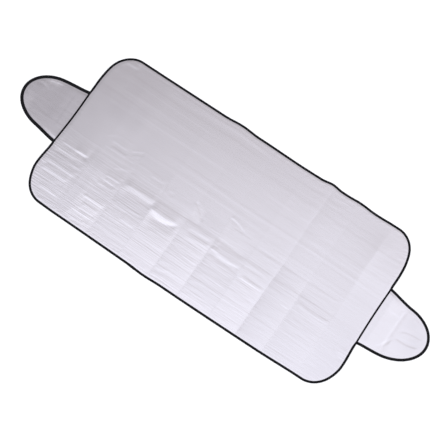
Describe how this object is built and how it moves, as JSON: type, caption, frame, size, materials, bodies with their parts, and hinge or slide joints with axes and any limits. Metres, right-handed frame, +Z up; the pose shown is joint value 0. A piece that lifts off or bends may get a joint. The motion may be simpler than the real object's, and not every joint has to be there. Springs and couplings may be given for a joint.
{
  "type": "windshield frost cover",
  "caption": "Flat foil-faced foam cover with rounded corners and a tongue-shaped door flap on each short side, its edges bound in black woven tape.",
  "frame": {"origin": "middle of the panel, on the surface that the cover lies on", "axes": "+X along the cover from the left flap to the right one, +Y across the panel, +Z up out of the foil face"},
  "size_m": [1.918, 0.725, 0.0065],
  "materials": {
    "satin_foil": "satin metallised film on thin white foam",
    "woven_tape": "matt black woven binding tape"
  },
  "bodies": {
    "root": {"cover_panel": "satin_foil", "panel_binding": "woven_tape", "left_door_flap": "satin_foil", "left_flap_binding": "woven_tape", "right_door_flap": "satin_foil", "right_flap_binding": "woven_tape"}
  },
  "joints": []
}
